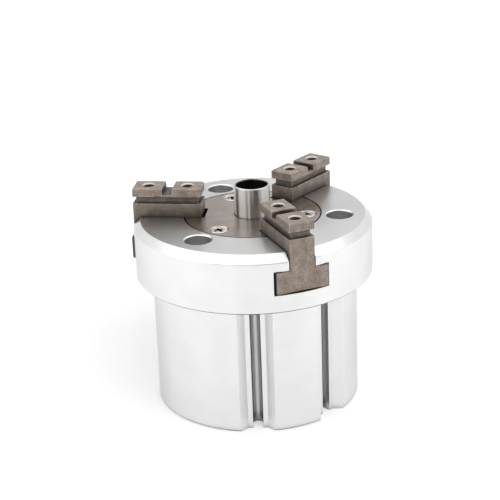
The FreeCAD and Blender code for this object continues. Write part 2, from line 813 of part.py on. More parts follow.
def make_wedge_hub():
    """The hub with three leaning T-shaped hooks, one in each jaw.

    Each hook is built up in layers that lean like the jaw's inner end: the
    arm, then the narrow neck and the wide head that run in the jaw's T-slot.
    """
    body = new_piece("wedge_hub")
    disc = new_sketch(body, "disc", "XY_Plane", ("0", "0", "hub_bottom"))
    circle(disc, "0", "0", "hub_radius")
    pad(body, disc, "hub_height")
    low_face = "arm_face + (hub_bottom - foot_bottom) * wedge_slope"
    high_face = "arm_face + (hub_top - foot_bottom) * wedge_slope"
    arm = new_sketch(body, "arm", "XZ_Plane")
    outline(arm, [
        ("0", "hub_bottom"),
        (f"-({low_face})", "hub_bottom"),
        (f"-({high_face})", "hub_top"),
        ("0", "hub_top"),
    ])
    hooks = [pad(body, arm, "arm_width", both_ways=True)]
    neck_end = "wedge_gap + hook_neck + hook_play"
    head_end = "wedge_gap + hook_depth - hook_play"
    layers = (
        ("neck", "0", neck_end, "hook_neck_width"),
        ("head", neck_end, head_end, "hook_head_width"),
    )
    for name, near, far, width in layers:
        band = new_sketch(body, name, "XZ_Plane")
        outline(band, [
            (f"-({low_face} + ({near}) * lean)", "hub_bottom"),
            (f"-({low_face} + ({far}) * lean)", "hub_bottom"),
            (f"-({high_face} + ({far}) * lean)", "hub_top"),
            (f"-({high_face} + ({near}) * lean)", "hub_top"),
        ])
        hooks.append(pad(body, band, width, both_ways=True))
    around(body, hooks)
    bore = new_sketch(body, "bore", "XY_Plane", ("0", "0", "hub_top"))
    circle(bore, "0", "0", "rod_neck_radius + fit_gap")
    pocket(body, bore, "hub_height")
    recess = new_sketch(body, "recess", "XY_Plane", ("0", "0", "hub_top"))
    circle(recess, "0", "0", "rod_nut_radius + hub_gap")
    pocket(body, recess, "rod_nut_recess")


def make_piston_rod():
    body = new_piece("piston_rod")
    profile = new_sketch(body, "profile", "XZ_Plane")
    outline(profile, [
        ("rod_bore", "socket_floor"),
        ("rod_radius", "socket_floor"),
        ("rod_radius", "hub_bottom"),
        ("rod_neck_radius", "hub_bottom"),
        ("rod_neck_radius", "hub_recess_floor + rod_nut_height"),
        ("rod_bore", "hub_recess_floor + rod_nut_height"),
    ])
    turn(body, profile)


def make_rod_nut():
    top = "hub_recess_floor + rod_nut_height"
    body = ring("rod_nut", "rod_neck_radius + fit_gap", "rod_nut_radius", "hub_recess_floor", top)
    spanner_slots(body, "rod_nut_radius", top)


def make_jaw(label, angle):
    """One base jaw, drawn along +X and turned to its place.

    The inner end leans back along the hub's arm, and a T-slot along that
    leaning face takes the hub's hook.
    """
    body = new_piece(label, angle)
    side = new_sketch(body, "side", "XZ_Plane")
    outline(side, [
        ("jaw_inner", "foot_bottom"),
        ("jaw_outer", "foot_bottom"),
        ("jaw_outer", "jaw_top"),
        ("jaw_inner", "jaw_top"),
        ("jaw_inner", "wedge_top"),
        ("jaw_inner + wedge_rise * wedge_slope", "wedge_top"),
    ])
    pad(body, side, "jaw_width", both_ways=True)
    foot = new_sketch(body, "foot", "XZ_Plane")
    outline(foot, [
        ("jaw_inner", "foot_bottom"),
        ("jaw_outer", "foot_bottom"),
        ("jaw_outer", "foot_top"),
        ("jaw_inner + foot_height * wedge_slope", "foot_top"),
    ])
    pad(body, foot, "foot_width", both_ways=True)
    sole = at_level("foot_bottom")
    half_foot = number("foot_width / 2")
    bevel(body, "foot", "foot_edge",
          lambda edge: sole(edge) and all(abs(abs(v.Y) - half_foot) < 1e-4 for v in edge.Vertexes))

    slots = (
        ("hook_neck", "0", "hook_neck", "hook_neck_width / 2 + hook_play"),
        ("hook_head", "hook_neck", "hook_depth", "hook_head_width / 2 + hook_play"),
    )
    for name, near, far, half_width in slots:
        below = f"foot_bottom - {OVERRUN}"
        low = f"jaw_inner - {OVERRUN} * wedge_slope"
        high = "jaw_inner + wedge_rise * wedge_slope"
        band = new_sketch(body, name, "XZ_Plane")
        outline(band, [
            (f"{low} + ({near}) * lean", below),
            (f"{low} + ({far}) * lean", below),
            (f"{high} + ({far}) * lean", "wedge_top"),
            (f"{high} + ({near}) * lean", "wedge_top"),
        ])
        pocket(body, band, f"2 * ({half_width})", both_ways=True)

    waist = new_sketch(body, "waist", "XY_Plane", ("0", "0", "head_top + waist_bottom"))
    half = "jaw_width / 2"
    rectangle(waist, f"jaw_inner - {OVERRUN}", f"jaw_outer + {OVERRUN}",
              f"-({half} + {OVERRUN})", f"{half} + {OVERRUN}")
    rectangle(waist, "jaw_inner + waist_depth", "jaw_outer - waist_depth",
              f"-({half} - waist_depth)", f"{half} - waist_depth")
    pocket(body, waist, "waist_top - waist_bottom", upward=True)

    keyway = new_sketch(body, "keyway", "XY_Plane", ("0", "0", "jaw_top"))
    rectangle(keyway, "jaw_inner + keyway_start", "jaw_inner + keyway_start + keyway_width",
              f"-({half} + {OVERRUN})", f"{half} + {OVERRUN}")
    pocket(body, keyway, "keyway_depth")
    holes = new_sketch(body, "threads", "XY_Plane", ("0", "0", "jaw_top"))
    for place in ("jaw_inner + jaw_thread_inset", "jaw_outer - jaw_thread_inset"):
        circle(holes, place, "0", "jaw_thread_radius")
    pocket(body, holes, "jaw_thread_depth")
    bevel(body, "threads", "jaw_thread_mouth", round_at_level("jaw_top", "jaw_thread_radius"))
    rim = at_level("jaw_top")
    bevel(body, "rim", "jaw_edge", lambda edge: rim(edge) and not hasattr(edge.Curve, "Radius"))


make_jaw_housing()
make_cylinder_body()
make_cover_plate()
make_cover_screws()
make_housing_screws()
make_dowel_pins()
make_through_tube()
make_tube_nut()
cord_ring("tube_o_ring_front", "tube_radius + run_gap + cord_radius", "head_top - plate_thickness / 2")
cord_ring("tube_o_ring_rear", "tube_radius + cord_radius", "flange_bottom - cord_radius")
make_rod_guide()
cord_ring("rod_guide_o_ring", "seat_radius - fit_gap - cord_radius", "(guide_bottom + body_height) / 2")
ring("rod_seal", "rod_radius + run_gap / 2", "seal_radius - fit_gap",
     "seal_bottom + fit_gap", "seal_bottom + rod_seal_height - fit_gap")
ring("rod_bush", "rod_radius + run_gap", "bush_radius - fit_gap", "bush_bottom", "body_height - fit_gap")
ring("bumper_front", "bumper_inner", "bumper_outer",
     "guide_bottom - bumper_out", "guide_bottom + bumper_sunk")
make_rear_cover()
cord_ring("rear_cover_o_ring", "seat_radius - fit_gap - cord_radius", "(cover_bottom + cover_top) / 2")
ring("bumper_rear", "bumper_inner", "bumper_outer", "cover_top - bumper_sunk", "cover_top + bumper_out")
ring("retaining_ring", "seat_radius + ring_groove_depth - ring_width",
     "seat_radius + ring_groove_depth - run_gap", "ring_bottom", "ring_top")
make_piston()
grooves = piston_grooves()
packing("piston_seal_rear", grooves[0], "bore_radius - run_gap / 2")
packing("piston_guide_ring", grooves[1], "bore_radius - run_gap / 2")
packing("magnet_ring", grooves[2], "piston_radius - fit_gap")
packing("piston_seal_front", grooves[3], "bore_radius - run_gap / 2")
ring("piston_inner_seal", "tube_radius + run_gap / 2", "rod_bore + packing_depth - fit_gap",
     "piston_bottom + land_height + fit_gap", "piston_bottom + land_height + inner_seal_height - fit_gap")
make_piston_rod()
make_wedge_hub()
make_rod_nut()
for jaw_number, jaw_angle in enumerate(JAW_ANGLES, start=1):
    make_jaw(f"jaw_{jaw_number}", jaw_angle)

doc.recompute()
for item in doc.Objects:
    if {"Invalid", "Error"} & set(item.State):
        raise RuntimeError(f"{item.Label} failed: {item.State}")
for body in pieces:
    if body.Shape.isNull() or not body.Shape.isValid():
        raise RuntimeError(f"{body.Label} has no valid shape")
for body in pieces:
    body.Shape.exportStep(f"parts/{body.Label}.step")
    print(body.Label, len(body.Shape.Solids), round(body.Shape.Volume, 1))
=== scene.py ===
"""The looks of a three jaw centric gripper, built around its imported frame."""
import json
import math

import bmesh
import bpy
import numpy as np
from mathutils import Matrix, Vector


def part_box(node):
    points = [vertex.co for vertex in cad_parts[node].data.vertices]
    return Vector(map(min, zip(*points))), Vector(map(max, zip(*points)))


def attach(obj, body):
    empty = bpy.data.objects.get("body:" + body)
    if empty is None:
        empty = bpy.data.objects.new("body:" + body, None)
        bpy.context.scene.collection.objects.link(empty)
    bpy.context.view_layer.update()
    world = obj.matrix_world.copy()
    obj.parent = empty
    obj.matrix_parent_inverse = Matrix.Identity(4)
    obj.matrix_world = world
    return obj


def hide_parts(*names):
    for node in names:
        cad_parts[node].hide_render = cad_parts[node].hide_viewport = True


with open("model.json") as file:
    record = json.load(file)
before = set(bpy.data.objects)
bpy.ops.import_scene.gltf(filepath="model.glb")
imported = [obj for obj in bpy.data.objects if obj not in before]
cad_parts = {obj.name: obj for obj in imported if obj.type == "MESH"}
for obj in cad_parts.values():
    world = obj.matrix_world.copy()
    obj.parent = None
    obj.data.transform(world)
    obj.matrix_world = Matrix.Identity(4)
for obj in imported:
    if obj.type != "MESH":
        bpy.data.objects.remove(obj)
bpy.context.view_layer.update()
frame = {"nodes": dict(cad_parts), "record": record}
nodes = frame["nodes"]
MM = 0.001

# Places on the gripper, in metres, from the frame
HEAD_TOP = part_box("jaw_housing")[1].z
HEAD_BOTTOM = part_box("jaw_housing")[0].z
HEAD_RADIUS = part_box("jaw_housing")[1].x
BODY_RADIUS = -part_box("cylinder_body")[0].x
PLATE_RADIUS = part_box("cover_plate")[1].x
JAW_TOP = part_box("jaw_1")[1].z
JAW_OUTER = -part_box("jaw_1")[0].x
JAW_INNER = -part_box("jaw_1")[1].x

# The way that each jaw points, in degrees, and the radius of the tube's bore, in millimetres
JAW_ANGLES = {"jaw_1": 180, "jaw_2": 300, "jaw_3": 60}
TUBE_BORE = 6.7

# Rounded edges, in millimetres
JAW_EDGE = 0.12
HEAD_EDGE = 0.15
BODY_EDGE = 0.15
PLATE_EDGE = 0.12
TUBE_EDGE = 0.10

# Mending of meshes: points that meet within these lengths, in metres, and angles in degrees
SEAM = 1e-7
WELD = 2e-6
FLAT_ANGLE = 0.4
SOFT_ANGLE = 28
SHARP_ANGLE = 40

# Painted shade in joints, slots, bores and gaps: its dark colour, widths of the lines along
# the joints in millimetres, and how steeply painted shade deepens towards the bottom of a gap
PAINTED_SHADE_DARK = (0.03, 0.026, 0.022)
PLATE_JOINT = 0.7
HEAD_JOINT = 0.9
SHADE_POWER = 1.5

# The camera of the photograph, in millimetres and degrees
VIEW_LENS = 104.0
VIEW_TURN = 7.98
VIEW_RISE = 21.37
VIEW_ROLL = 2.12
VIEW_DISTANCE = 604.38
VIEW_LEFT = 1.67
VIEW_DOWN = 15.33

# The light, in metres and watts
WORLD_LIGHT = 0.14
FLOOR_REACH = 6.0
FLOOR_WHITE = 0.6
FLOOR_LEVEL = -0.0001
GLOW_NEAR = 0.45
GLOW_FAR = 1.0
GLOW_REACH = 0.6
GLOW_INSIDE = 0.025
OVERHEAD = {"place": (0.15, 0.30, 1.35), "size": 1.2, "power": 7.0}
FILL = {"place": (0.55, -0.68, 0.80), "size": 1.2, "power": 12.5}
SIDE = {"place": (-0.80, -0.45, 0.70), "size": 1.2, "power": 4.5}

# Cards round the gripper: distance in metres, lower and upper edge in degrees above
# the table, and greys at angles round the gripper in degrees
BACK_CARD = {
    "reach": 4.0,
    "low": 16,
    "high": 36,
    "strength": 1.0,
    "shades": ((84, 1.0), (95, 0.8), (100, 0.4), (104, 0.16), (124, 0.16), (138, 1.0), (140, 1.0)),
}
CEILING_CARD = {
    "reach": 4.0,
    "low": 36,
    "high": 70,
    "strength": 1.85,
    "shades": ((80, 1.0), (400, 1.0)),
}
FRONT_CARD = {
    "reach": 0.6,
    "low": 0,
    "high": 50,
    "strength": 1.0,
    "shades": ((225, 1.0), (236, 0.8), (242, 0.05), (247, 0.2), (251, 1.0), (259, 1.0),
               (264, 0.02), (314, 0.02), (332, 0.4), (345, 1.0)),
}
CARD_COLUMNS = 48

# Screws of the cover plate, in millimetres and degrees. The head is smaller than the
# solid's by the play, and the wall is the width of the recess's slanted sides.
SCREW_ANGLES = (0, 120, 240)
SCREW_HEAD = 3.8
SCREW_SUNK = 0.05
SCREW_DOME = 0.15
SCREW_RIM = 0.5
SCREW_PLAY = 0.05
SCREW_PITCH = 0.7
SCREW_THREAD = 0.32
SCREW_POINT = 0.6
SCREW_BEVEL = 0.5
SHANK_RADIUS = 2.0
CROSS_TURN = 20
CROSS_DEPTH = 2.2
CROSS_REACH = 2.5
CROSS_TAPER = 1.5
CROSS_WIDTH = 1.05
CROSS_WALL = 0.16

# Rows and columns of the screws' and threads' grids
SCREW_COLUMNS = 144
FACE_ROWS = 34
RIM_ROWS = 5
SHANK_ROWS = 90
THREAD_COLUMNS = 60
ROWS_PER_TURN = 6

# Tapped holes, in millimetres: core and full radius, pitch, depth and mouth of the
# thread, depth of the plain wall that it replaces, and play in finding that wall
JAW_THREAD = {"core": 2.1, "full": 2.5, "pitch": 0.8, "depth": 10.9, "mouth": 0.7}
JAW_WALL = 10.95
JAW_THREAD_INSET = 6.2
PORT_THREAD = {"core": 4.3, "full": 4.86, "pitch": 0.907, "depth": 7.1, "mouth": 0.35}
PORT_WALL = 8.0
WALL_PLAY = 0.1

# The air ports, in millimetres and degrees
PORT_FLAT = 0.8
PORT_ANGLE = 60
PORT_HEIGHTS = {"open": 42.25, "close": 16.85}


def put(name, mesh):
    """A new object at the origin that shows the mesh."""
    made = bpy.data.objects.new(name, mesh)
    bpy.context.scene.collection.objects.link(made)
    return made


def dress(piece, material):
    """Put one material on the whole piece."""
    piece.data.materials.clear()
    piece.data.materials.append(material)


def photo_camera():
    """The camera that looks at the head's top from the photograph's side.

    It stands back along the line of sight, moved a little left and down, and
    rolls about that line.
    """
    turn = Matrix.Rotation(math.radians(VIEW_TURN), 3, "Z")
    rise = math.radians(VIEW_RISE)
    roll = math.radians(VIEW_ROLL)
    right = turn @ Vector((1, 0, 0))
    up = turn @ Vector((0, math.sin(rise), math.cos(rise)))
    ahead = turn @ Vector((0, math.cos(rise), -math.sin(rise)))
    back_off = VIEW_LEFT * right + VIEW_DOWN * up + VIEW_DISTANCE * ahead
    place = Vector((0, 0, HEAD_TOP)) - MM * back_off
    rolled_right = math.cos(roll) * right - math.sin(roll) * up
    rolled_up = math.sin(roll) * right + math.cos(roll) * up
    data = bpy.data.cameras.new("photo_camera")
    data.lens = VIEW_LENS
    data.clip_start = 0.01
    camera = bpy.data.objects.new("photo_camera", data)
    turned = Matrix((rolled_right, rolled_up, -ahead)).transposed().to_4x4()
    camera.matrix_world = Matrix.Translation(place) @ turned
    bpy.context.scene.collection.objects.link(camera)
    bpy.context.scene.camera = camera


class Recipe:
    """A node tree with short ways to add, join and reckon with nodes."""

    def __init__(self, owner):
        owner.use_nodes = True
        self.tree = owner.node_tree
        self.owner = owner

    def node(self, kind, **settings):
        """A new node with its settings."""
        made = self.tree.nodes.new(kind)
        for key, value in settings.items():
            setattr(made, key, value)
        return made

    def feed(self, socket, value):
        """Give a socket a plain value, or join another node's output to it."""
        if isinstance(value, bpy.types.NodeSocket):
            self.tree.links.new(value, socket)
        elif isinstance(value, tuple) and len(value) == 3 and socket.type == "RGBA":
            socket.default_value = (*value, 1.0)
        elif value is not None:
            socket.default_value = value

    def maths(self, operation, first, second=None):
        """The result of an operation on one or two factors."""
        made = self.node("ShaderNodeMath", operation=operation)
        self.feed(made.inputs[0], first)
        self.feed(made.inputs[1], second)
        return made.outputs[0]

    def vector(self, operation, first, second=None, output="Vector"):
        """The result of an operation on one or two vectors."""
        made = self.node("ShaderNodeVectorMath", operation=operation)
        self.feed(made.inputs[0], first)
        self.feed(made.inputs[1], second)
        return made.outputs[output]

    def total(self, *parts):
        """The sum of factors, each given with its share."""
        summed = 0.0
        for factor, share in parts:
            summed = self.maths("ADD", self.maths("MULTIPLY", factor, share), summed)
        return summed

    def spread(self, factor, low, high, start=0.0, end=1.0):
        """The factor, from start to end, spread from low to high."""
        made = self.node("ShaderNodeMapRange")
        for name, value in (("Value", factor), ("From Min", start), ("From Max", end),
                            ("To Min", low), ("To Max", high)):
            self.feed(made.inputs[name], value)
        return made.outputs[0]

    def blend(self, factor, first, second, mode="MIX"):
        """The first colour at factor 0 and the second at factor 1."""
        made = self.node("ShaderNodeMix", data_type="RGBA", blend_type=mode)
        for index, value in ((0, factor), (6, first), (7, second)):
            self.feed(made.inputs[index], value)
        return made.outputs[2]

    def background_rays(self):
        """1 for rays from the camera and for reflected and refracted ones."""
        path = self.node("ShaderNodeLightPath").outputs
        either = self.maths("MAXIMUM", path["Is Camera Ray"], path["Is Glossy Ray"])
        return self.maths("MAXIMUM", either, path["Is Transmission Ray"])


class Finish(Recipe):
    """A surface material worked out from Object coordinates."""

    def __init__(self, name):
        super().__init__(bpy.data.materials.new(name))
        self.shader = self.tree.nodes["Principled BSDF"]
        self.surface = self.tree.nodes["Material Output"].inputs[0]
        self.place = self.node("ShaderNodeTexCoord").outputs["Object"]

    def mapped(self, scale, turn=0.0):
        """The place turned about Z and measured in lengths of the scale, in mm."""
        made = self.node("ShaderNodeMapping", vector_type="TEXTURE")
        made.inputs["Rotation"].default_value = (0, 0, math.radians(turn))
        made.inputs["Scale"].default_value = [MM * size for size in scale]
        self.feed(made.inputs["Vector"], self.place)
        return made.outputs[0]

    def polar(self):
        """Radius, angle and height about the gripper's axis."""
        split = self.node("ShaderNodeSeparateXYZ")
        self.feed(split.inputs[0], self.place)
        x, y, z = split.outputs
        squares = self.maths("ADD", self.maths("MULTIPLY", x, x), self.maths("MULTIPLY", y, y))
        return self.maths("SQRT", squares), self.maths("ARCTAN2", y, x), z

    def turned(self, across, along, around):
        """Radius, height and angle, so that lines run as a lathe leaves them.

        The radius is measured in lengths of across and the height in lengths of
        along, in mm, and a radian counts as around.
        """
        radius, angle, height = self.polar()
        joined = self.node("ShaderNodeCombineXYZ")
        self.feed(joined.inputs[0], self.maths("MULTIPLY", radius, 1 / (across * MM)))
        self.feed(joined.inputs[1], self.maths("MULTIPLY", height, 1 / (along * MM)))
        self.feed(joined.inputs[2], self.maths("MULTIPLY", angle, around))
        return joined.outputs[0]

    def noise(self, vector, detail=2.0, roughness=0.5):
        """Soft random spots, one to a unit of the vector."""
        made = self.node("ShaderNodeTexNoise")
        made.inputs["Scale"].default_value = 1.0
        made.inputs["Detail"].default_value = detail
        made.inputs["Roughness"].default_value = roughness
        self.feed(made.inputs["Vector"], vector)
        return made.outputs["Fac"]

    def ramp(self, factor, stops):
        """A colour ramp with (position, colour) stops."""
        made = self.node("ShaderNodeValToRGB")
        elements = made.color_ramp.elements
        while len(elements) < len(stops):
            elements.new(0.5)
        for element, (position, colour) in zip(elements, stops):
            element.position = position
            element.color = (*colour, 1.0)
        self.feed(made.inputs[0], factor)
        return made.outputs["Color"]

    def painted_shade_in_gaps(self, colour, reach, darkest, shut_share=0.1, open_share=0.55):
        """The colour darkened by painted shade in gaps narrower than reach, in mm.

        A place that sees less than shut_share of the sky is darkest, and one
        that sees more than open_share of it keeps its colour.
        """
        sky = self.node("ShaderNodeAmbientOcclusion", samples=8)
        sky.inputs["Distance"].default_value = reach * MM
        shade = self.spread(sky.outputs["AO"], 0.0, 1.0, shut_share, open_share)
        shade = self.maths("MAXIMUM", self.maths("POWER", shade, SHADE_POWER), darkest)
        return self.blend(1.0, colour, shade, "MULTIPLY")

    def edges(self, radius):
        """From 0 on flat metal to 1 on edges, within a radius in mm."""
        soft = self.node("ShaderNodeBevel", samples=4)
        soft.inputs["Radius"].default_value = radius * MM
        flat = self.node("ShaderNodeNewGeometry").outputs["Normal"]
        turned = self.vector("DOT_PRODUCT", soft.outputs[0], flat, "Value")
        return self.spread(turned, 1.0, 0.0, 0.90, 0.995)

    def relief(self, height, depth):
        """Bumps of that depth, in millimetres."""
        made = self.node("ShaderNodeBump")
        made.inputs["Strength"].default_value = 1.0
        made.inputs["Distance"].default_value = depth * MM
        self.feed(made.inputs["Height"], height)
        self.feed(self.shader.inputs["Normal"], made.outputs[0])

    def line_at(self, distance, centre, width):
        """1 where the distance is within half the width of the centre, with soft sides.

        The distance and the centre are in metres, and the width is in mm.
        """
        aside = self.maths("ABSOLUTE", self.maths("SUBTRACT", distance, centre))
        return self.spread(aside, 1.0, 0.0, 0.3 * width * MM, 0.7 * width * MM)

    def lathe_marks(self, amount):
        """Stretch reflections across the fine rings that a lathe leaves round the axis."""
        around = self.node("ShaderNodeTangent", direction_type="RADIAL", axis="Z")
        self.feed(self.shader.inputs["Tangent"], around.outputs[0])
        self.shader.inputs["Anisotropic"].default_value = amount
        self.shader.inputs["Anisotropic Rotation"].default_value = 0.25

    def metal(self, colour, roughness, metallic=1.0):
        """The finished material, with its colour, its roughness and its share of metal."""
        self.feed(self.shader.inputs["Metallic"], metallic)
        self.feed(self.shader.inputs["Base Color"], colour)
        self.feed(self.shader.inputs["Roughness"], roughness)
        return self.owner


def anodised_aluminium():
    """Clear-anodised turned aluminium: nearly white, with faint turning lines.

    Painted shade darkens the plate's joint, and a painted shadow line the head's joint with the body.
    """
    finish = Finish("anodised_aluminium")
    lines = finish.noise(finish.turned(0.12, 0.12, 0.6), 3.0, 0.6)
    cloud = finish.noise(finish.mapped((14, 14, 14)), 3.0, 0.5)
    grain = finish.noise(finish.mapped((0.35, 0.35, 0.35)), 2.0, 0.6)
    tone = finish.total((lines, 0.5), (cloud, 0.5))
    colour = finish.ramp(tone, [(0.30, (0.73, 0.73, 0.73)), (0.70, (0.82, 0.82, 0.815))])
    radius, _, height = finish.polar()
    # painted shade along the plate's joint, over its real narrow gap
    colour = finish.blend(finish.line_at(radius, PLATE_RADIUS, PLATE_JOINT), colour, PAINTED_SHADE_DARK)
    # painted shadow under the head's overhang, on its side only
    outside = finish.spread(radius, 0.0, 1.0, HEAD_RADIUS - 0.9 * MM, HEAD_RADIUS - 0.6 * MM)
    joint = finish.maths("MULTIPLY", finish.line_at(height, HEAD_BOTTOM, HEAD_JOINT), outside)
    colour = finish.blend(joint, colour, PAINTED_SHADE_DARK)
    finish.relief(finish.total((lines, 1.0), (grain, 1.0)), 0.002)
    finish.lathe_marks(0.55)
    finish.shader.inputs["Specular Tint"].default_value = (0.8, 0.8, 0.8, 1.0)
    # painted shade in the gaps, grooves and holes
    colour = finish.painted_shade_in_gaps(colour, 5.0, 0.25, open_share=0.65)
    return finish.metal(colour, finish.spread(grain, 0.26, 0.36))


def plate_steel():
    """Brown-grey turned steel of the cover plate."""
    finish = Finish("plate_steel")
    lines = finish.noise(finish.turned(0.10, 0.10, 0.8), 3.0, 0.6)
    cloud = finish.noise(finish.mapped((6, 6, 6)), 3.0, 0.5)
    tone = finish.total((lines, 0.6), (cloud, 0.4))
    colour = finish.ramp(tone, [(0.30, (0.44, 0.385, 0.35)), (0.70, (0.58, 0.51, 0.465))])
    radius, _, _ = finish.polar()
    # painted shade along the plate's joint, over its real narrow gap
    colour = finish.blend(finish.line_at(radius, PLATE_RADIUS, PLATE_JOINT), colour, PAINTED_SHADE_DARK)
    finish.relief(lines, 0.003)
    # painted shade in the gaps and holes
    return finish.metal(finish.painted_shade_in_gaps(colour, 5.0, 0.2), finish.spread(cloud, 0.20, 0.28))


def jaw_steel(name, turn):
    """Hardened brown-grey steel, ground along the jaw and mottled.

    Its edges are rubbed lighter above the head, partly as a painted highlight,
    and darkened with painted shade in the slots.
    """
    finish = Finish(name)
    lines = finish.noise(finish.mapped((6.0, 0.10, 0.10), turn), 3.0, 0.6)
    patches = finish.noise(finish.mapped((3.5, 3.5, 3.5)), 4.0, 0.55)
    grain = finish.noise(finish.mapped((0.28, 0.28, 0.28)), 2.0, 0.6)
    tone = finish.total((lines, 0.30), (patches, 0.25), (grain, 0.45))
    dark = (0.10, 0.076, 0.06)
    middle = (0.25, 0.201, 0.163)
    light = (0.44, 0.37, 0.308)
    colour = finish.ramp(tone, [(0.38, dark), (0.50, middle), (0.62, light)])
    rim = finish.edges(0.35)
    _, _, height = finish.polar()
    above = finish.spread(height, 0.0, 1.0, HEAD_TOP - 0.2 * MM, HEAD_TOP + 0.2 * MM)
    # edges lighter above the head: partly rubbed metal, partly a painted highlight
    rubbed_and_highlight_patches = finish.maths("MULTIPLY", above, finish.spread(patches, 0.1, 1.0, 0.35, 0.65))
    rubbed_and_highlight_edges = finish.maths("MULTIPLY", rim, rubbed_and_highlight_patches)
    # painted shade on the edges that sit in the head's slots
    slot_shade = finish.maths("MULTIPLY", rim, finish.maths("SUBTRACT", 1.0, above))
    colour = finish.blend(slot_shade, finish.blend(rubbed_and_highlight_edges, colour, (0.70, 0.66, 0.61)), PAINTED_SHADE_DARK)
    finish.relief(finish.total((lines, 1.0), (grain, 1.0)), 0.006)
    # painted shade in gaps and under the rails
    colour = finish.painted_shade_in_gaps(colour, 8.0, 0.03, shut_share=0.3, open_share=1.0)
    return finish.metal(colour, finish.spread(grain, 0.42, 0.55), finish.spread(rubbed_and_highlight_edges, 0.12, 0.8))


def bush_bronze():
    """Turned bronze of the rod's bush, with faint rings around it."""
    finish = Finish("bush_bronze")
    rings = finish.noise(finish.turned(0.20, 0.15, 0.5), 2.0, 0.5)
    colour = finish.ramp(rings, [(0.35, (0.47, 0.31, 0.15)), (0.65, (0.58, 0.41, 0.22))])
    finish.relief(rings, 0.001)
    finish.lathe_marks(0.9)
    # painted shade in the gaps
    return finish.metal(finish.painted_shade_in_gaps(colour, 2.0, 0.05), finish.spread(rings, 0.30, 0.45))


def screw_steel():
    """Bright screw heads, with painted shade in the cross and a painted shadow below the rim."""
    finish = Finish("screw_steel")
    grain = finish.noise(finish.mapped((0.6, 0.6, 0.6)), 2.0, 0.5)
    bright = finish.ramp(grain, [(0.35, (0.70, 0.68, 0.65)), (0.65, (0.88, 0.86, 0.83))])
    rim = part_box("cover_screws")[1].z - (SCREW_SUNK + SCREW_DOME) * MM
    _, _, height = finish.polar()
    # painted shadow in the gap below the rim
    below = finish.spread(height, 1.0, 0.0, rim - 0.10 * MM, rim - 0.02 * MM)
    finish.relief(grain, 0.002)
    # painted shade in the cross recess
    colour = finish.painted_shade_in_gaps(finish.blend(below, bright, PAINTED_SHADE_DARK), 1.5, 0.3)
    return finish.metal(colour, finish.spread(grain, 0.20, 0.30))


def drawn_steel():
    """The through tube: bright drawn steel, with painted shade in its bore."""
    finish = Finish("drawn_steel")
    rings = finish.noise(finish.turned(0.20, 0.12, 0.5), 3.0, 0.6)
    colour = finish.ramp(rings, [(0.35, (0.56, 0.545, 0.525)), (0.65, (0.64, 0.63, 0.61))])
    radius, _, height = finish.polar()
    # painted shade inside the bore, below the top of the jaws
    bore = finish.spread(radius, 1.0, 0.0, (TUBE_BORE + 0.1) * MM, (TUBE_BORE + 0.3) * MM)
    below = finish.spread(height, 1.0, 0.0, JAW_TOP, JAW_TOP + 0.5 * MM)
    colour = finish.blend(finish.maths("MULTIPLY", bore, below), colour, PAINTED_SHADE_DARK)
    finish.lathe_marks(1.0)
    # painted shade in the gaps
    return finish.metal(finish.painted_shade_in_gaps(colour, 3.0, 0.2), finish.spread(rings, 0.27, 0.30))


def tapped_steel():
    """The jaws' threads: bright at the mouth, with painted shade nearly black below it."""
    finish = Finish("tapped_steel")
    rings = finish.noise(finish.mapped((0.5, 0.5, 0.15)), 2.0, 0.5)
    bright = finish.ramp(rings, [(0.35, (0.48, 0.43, 0.38)), (0.65, (0.68, 0.62, 0.57))])
    _, _, height = finish.polar()
    # painted shade inside the hole, below its mouth
    mouth_end = JAW_TOP - JAW_THREAD["mouth"] * MM
    below = finish.spread(height, 1.0, 0.0, mouth_end - 0.1 * MM, mouth_end + 0.4 * MM)
    finish.shader.inputs["Specular IOR Level"].default_value = 0.15
    return finish.metal(finish.blend(below, bright, PAINTED_SHADE_DARK), finish.spread(rings, 0.3, 0.45), 0.3)


def soft_stuff(name, colour, roughness):
    """Rubber or plastic of the inner pieces."""
    finish = Finish(name)
    grain = finish.noise(finish.mapped((0.4, 0.4, 0.4)), 2.0, 0.6)
    darker = tuple(0.8 * part for part in colour)
    finish.relief(grain, 0.01)
    mixed = finish.ramp(grain, [(0.3, darker), (0.7, colour)])
    return finish.metal(mixed, finish.spread(grain, roughness, roughness + 0.1), 0.0)


def woven(name, points, closed=False):
    """A mesh of quads over a grid of points, rows by columns.

    The columns wrap round when closed. Points that meet, as at a pole or a
    seam, are merged.
    """
    rows, columns = points.shape[:2]
    index = np.arange(rows * columns).reshape(rows, columns)
    if closed:
        index = np.hstack([index, index[:, :1]])
    corners = (index[:-1, :-1], index[:-1, 1:], index[1:, 1:], index[1:, :-1])
    quads = np.stack(corners, axis=-1).reshape(-1, 4)
    mesh = bpy.data.meshes.new(name)
    mesh.from_pydata(points.reshape(-1, 3), [], quads.tolist())
    shell = bmesh.new()
    shell.from_mesh(mesh)
    bmesh.ops.remove_doubles(shell, verts=shell.verts, dist=SEAM)
    shell.to_mesh(mesh)
    shell.free()
    mesh.shade_smooth()
    mesh.set_sharp_from_angle(angle=math.radians(SHARP_ANGLE))
    return mesh


def world_light():
    """A white world, at full strength only for the camera and for reflections."""
    world = bpy.data.worlds.new("studio")
    bpy.context.scene.world = world
    recipe = Recipe(world)
    recipe.tree.nodes.clear()
    white = recipe.node("ShaderNodeBackground")
    strength = recipe.spread(recipe.background_rays(), WORLD_LIGHT, 1.0)
    recipe.feed(white.inputs["Color"], (1.0, 1.0, 1.0))
    recipe.feed(white.inputs["Strength"], strength)
    recipe.feed(recipe.node("ShaderNodeOutputWorld").inputs[0], white.outputs[0])


